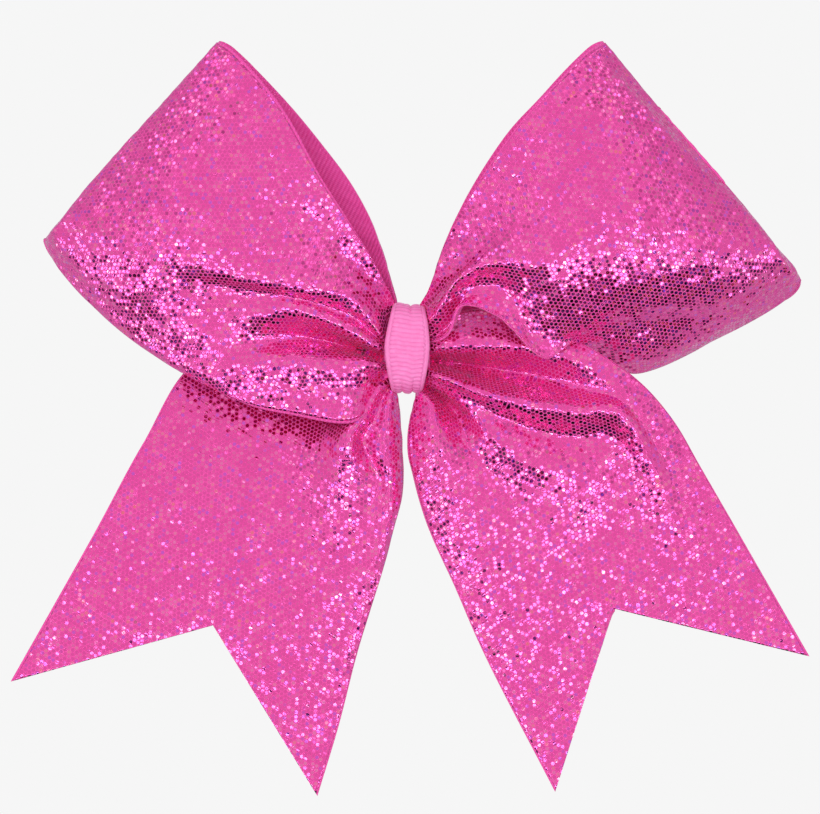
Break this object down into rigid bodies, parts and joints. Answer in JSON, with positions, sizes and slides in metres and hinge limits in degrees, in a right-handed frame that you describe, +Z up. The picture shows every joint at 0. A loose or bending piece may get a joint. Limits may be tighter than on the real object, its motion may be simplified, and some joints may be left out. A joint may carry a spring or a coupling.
{
  "type": "cheer hair bow",
  "caption": "Upright ribbon hair bow with open loops, notched tails that bend, and a narrow centre wrap, held on by a sprung jaw clip.",
  "frame": {"origin": "in the clip's grip, between its jaws, straight behind the middle of the centre wrap", "axes": "+Z up as worn, +X across the bow to the right as it is seen from the front, -Y towards the side that shows"},
  "size_m": [0.1915, 0.0377, 0.1806],
  "materials": {
    "ribbon_lining": "ribbed grosgrain ribbon, plain pink",
    "foil_facing": "pink fabric with a close pattern of small holographic foil dots",
    "wrap_ribbon": "narrow ribbed grosgrain ribbon, light pink",
    "tie_nylon": "natural nylon",
    "hot_glue": "set hot-melt glue",
    "clip_steel": "nickel-plated pressed sheet steel",
    "spring_steel": "drawn spring wire",
    "grip_rubber": "soft clear-white grip strip"
  },
  "bodies": {
    "bow": {"left_loop_lining": "ribbon_lining", "left_loop_facing": "foil_facing", "right_loop_lining": "ribbon_lining", "right_loop_facing": "foil_facing", "left_tail_top_lining": "ribbon_lining", "left_tail_top_facing": "foil_facing", "right_tail_top_lining": "ribbon_lining", "right_tail_top_facing": "foil_facing", "gathered_centre": "foil_facing", "cable_tie_strap": "tie_nylon", "cable_tie_head": "tie_nylon", "glue_pads": "hot_glue", "centre_wrap": "wrap_ribbon", "wrap_end": "wrap_ribbon", "front_jaw": "clip_steel", "grip_pad": "grip_rubber", "hinge_pin": "clip_steel", "torsion_spring": "spring_steel"},
    "left_tail": {"left_tail_lining": "ribbon_lining", "left_tail_facing": "foil_facing"},
    "right_tail": {"right_tail_lining": "ribbon_lining", "right_tail_facing": "foil_facing"},
    "rear_jaw": {"rear_jaw": "clip_steel"}
  },
  "joints": [
    {"name": "clip_hinge", "type": "hinge", "parent": "bow", "child": "rear_jaw", "pos_m": [0.015, 0.0009, 0], "axis": [0, 0, -1], "range_deg": [0, 22], "stiffness_Nm_per_rad": 0.06, "springref_deg": -20.05, "deforming": ["torsion_spring"]},
    {"name": "left_tail_bend", "type": "hinge", "parent": "bow", "child": "left_tail", "pos_m": [-0.03, -0.0114, -0.02], "axis": [-1, 0, 0], "range_deg": [-30, 30], "stiffness_Nm_per_rad": 0.012},
    {"name": "right_tail_bend", "type": "hinge", "parent": "bow", "child": "right_tail", "pos_m": [0.03, -0.0114, -0.02], "axis": [-1, 0, 0], "range_deg": [-30, 30], "stiffness_Nm_per_rad": 0.012}
  ]
}
